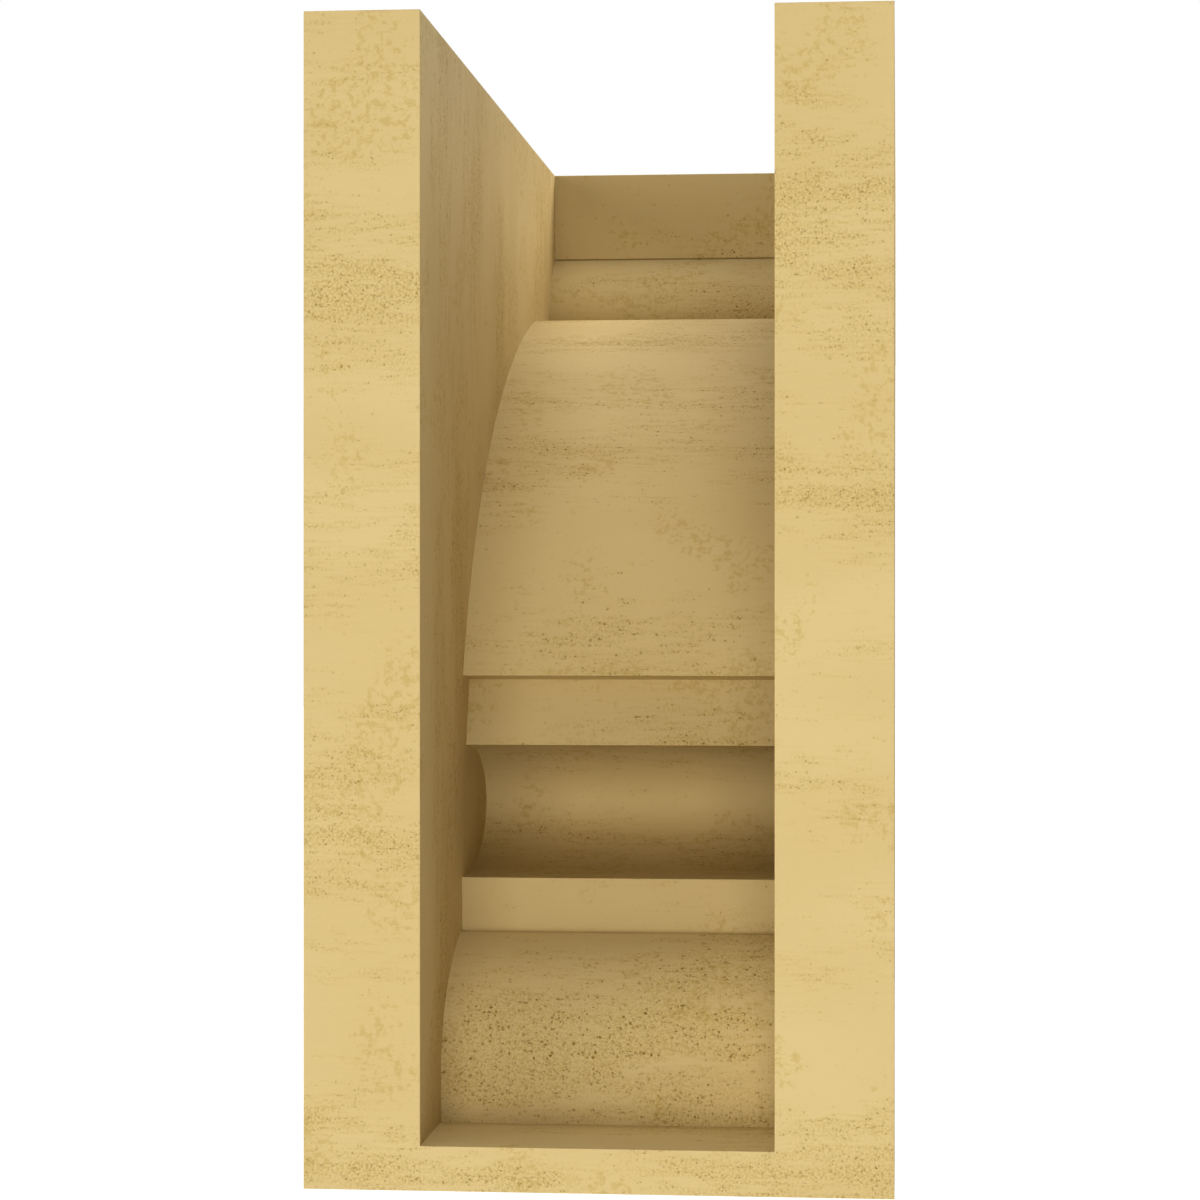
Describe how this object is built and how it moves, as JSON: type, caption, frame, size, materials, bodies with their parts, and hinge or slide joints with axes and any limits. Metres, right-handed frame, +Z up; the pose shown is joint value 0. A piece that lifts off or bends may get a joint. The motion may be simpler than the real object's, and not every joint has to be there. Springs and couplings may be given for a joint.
{
  "type": "corbel",
  "caption": "Hollow moulded corbel with thick side cheeks and a front of coves, a roll and a fascia, open at the back and top, that fixes flat to a wall under a shelf or beam.",
  "frame": {"origin": "middle of the floor's back edge, half way up its thickness, in the plane of the wall", "axes": "+Y out of the back face into the wall, +Z up, +X across the width; the corbel stands out from the wall towards -Y"},
  "size_m": [0.1524, 0.3048, 0.3048],
  "materials": {
    "primed_tan": "matte tan primer on moulded urethane, with fine dark olive-brown specks in streaks along the grain and faint ochre blotches"
  },
  "bodies": {
    "root": {"corbel": "primed_tan"}
  },
  "joints": []
}
